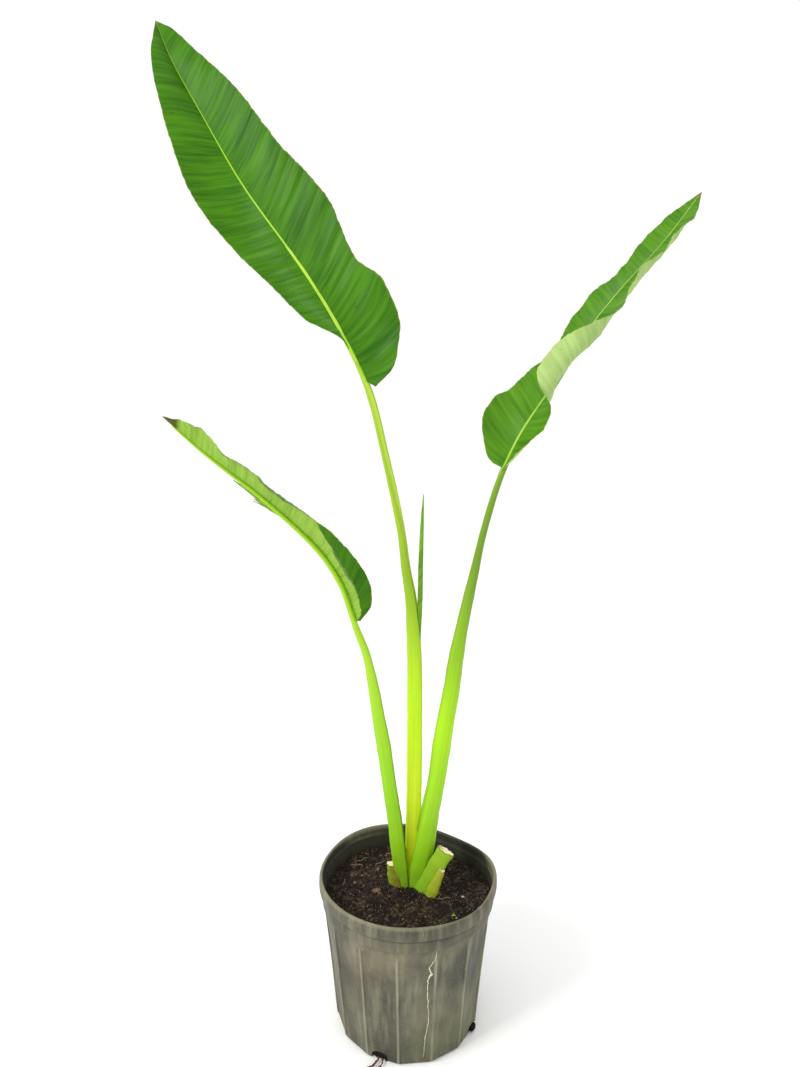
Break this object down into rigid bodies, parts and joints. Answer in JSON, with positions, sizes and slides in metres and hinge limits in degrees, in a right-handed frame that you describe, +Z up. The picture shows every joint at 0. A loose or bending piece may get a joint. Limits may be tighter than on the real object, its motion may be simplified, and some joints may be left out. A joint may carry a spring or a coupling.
{
  "type": "potted travelers palm",
  "caption": "Young travelers palm with paddle-shaped leaves on long sheathing stalks, growing in a ribbed round nursery can full of soil.",
  "frame": {"origin": "centre of the can's underside, at the level of the surface it stands on", "axes": "+Z up along the can's axis and the plant; -Y is the front, +X is to the right seen from the front"},
  "size_m": [0.7224, 0.3407, 1.4415],
  "materials": {
    "can_plastic": "weathered, dusty",
    "soil": "matte, granular",
    "leaf": "satin, veined",
    "stalk": "satin",
    "cut_stalk": "dry, fibrous",
    "root": "matte",
    "bark": "matte"
  },
  "bodies": {
    "root": {"nursery_pot": "can_plastic", "potting_soil": "soil", "leaf_tall_stalk": "stalk", "leaf_tall_blade": "leaf", "leaf_right_stalk": "stalk", "leaf_right_blade": "leaf", "leaf_left_stalk": "stalk", "leaf_left_blade": "leaf", "spear_leaf": "leaf", "stub_left": "cut_stalk", "stub_right_long": "cut_stalk", "stub_right_short": "cut_stalk", "drain_root_long": "root", "drain_root_short": "root", "drain_soil_clump": "soil", "bark_chip": "bark", "dry_rootlet": "root", "weed_sprout": "leaf"}
  },
  "joints": []
}
